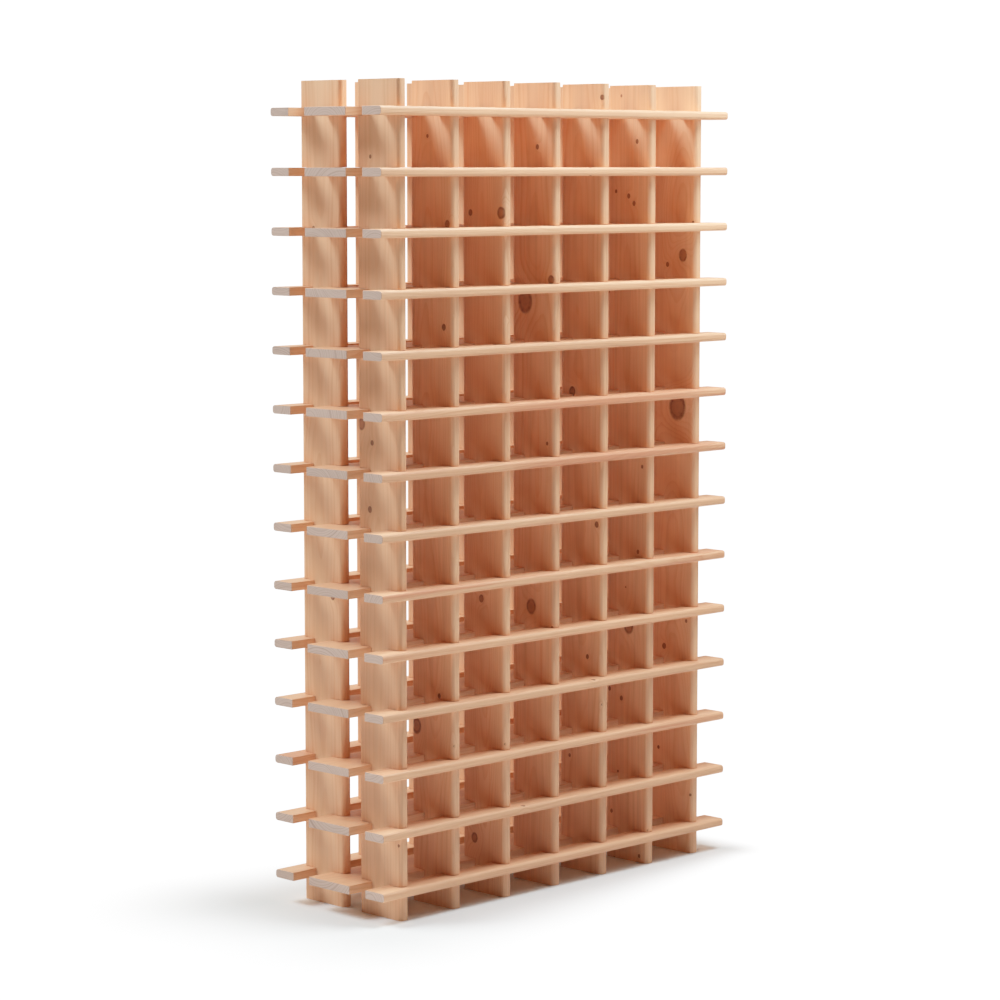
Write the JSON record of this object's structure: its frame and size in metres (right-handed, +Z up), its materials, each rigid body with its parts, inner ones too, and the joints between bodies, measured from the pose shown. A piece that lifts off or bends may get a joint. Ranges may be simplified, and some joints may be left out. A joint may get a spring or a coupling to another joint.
{
  "type": "wine rack",
  "caption": "Free-standing timber wine rack of slot-together uprights and slats that form a tall grid of open cells, each holding one lying bottle.",
  "frame": {"origin": "on the floor, under the middle of the rack", "axes": "+Z up, +X along the slats, +Y from the front of the rack to its rear, so the front looks along -Y"},
  "size_m": [0.996, 0.316, 1.628],
  "materials": {
    "upright_wood": "planed softwood, untreated, matt",
    "slat_wood": "planed softwood, untreated, matt"
  },
  "bodies": {
    "root": {"front_upright_1": "upright_wood", "front_upright_2": "upright_wood", "front_upright_3": "upright_wood", "front_upright_4": "upright_wood", "front_upright_5": "upright_wood", "front_upright_6": "upright_wood", "front_upright_7": "upright_wood", "rear_upright_1": "upright_wood", "rear_upright_2": "upright_wood", "rear_upright_3": "upright_wood", "rear_upright_4": "upright_wood", "rear_upright_5": "upright_wood", "rear_upright_6": "upright_wood", "rear_upright_7": "upright_wood", "front_slat_1": "slat_wood", "front_slat_2": "slat_wood", "front_slat_3": "slat_wood", "front_slat_4": "slat_wood", "front_slat_5": "slat_wood", "front_slat_6": "slat_wood", "front_slat_7": "slat_wood", "front_slat_8": "slat_wood", "front_slat_9": "slat_wood", "front_slat_10": "slat_wood", "front_slat_11": "slat_wood", "front_slat_12": "slat_wood", "front_slat_13": "slat_wood", "front_slat_14": "slat_wood", "middle_slat_1": "slat_wood", "middle_slat_2": "slat_wood", "middle_slat_3": "slat_wood", "middle_slat_4": "slat_wood", "middle_slat_5": "slat_wood", "middle_slat_6": "slat_wood", "middle_slat_7": "slat_wood", "middle_slat_8": "slat_wood", "middle_slat_9": "slat_wood", "middle_slat_10": "slat_wood", "middle_slat_11": "slat_wood", "middle_slat_12": "slat_wood", "middle_slat_13": "slat_wood", "middle_slat_14": "slat_wood", "rear_slat_1": "slat_wood", "rear_slat_2": "slat_wood", "rear_slat_3": "slat_wood", "rear_slat_4": "slat_wood", "rear_slat_5": "slat_wood", "rear_slat_6": "slat_wood", "rear_slat_7": "slat_wood", "rear_slat_8": "slat_wood", "rear_slat_9": "slat_wood", "rear_slat_10": "slat_wood", "rear_slat_11": "slat_wood", "rear_slat_12": "slat_wood", "rear_slat_13": "slat_wood", "rear_slat_14": "slat_wood"}
  },
  "joints": []
}
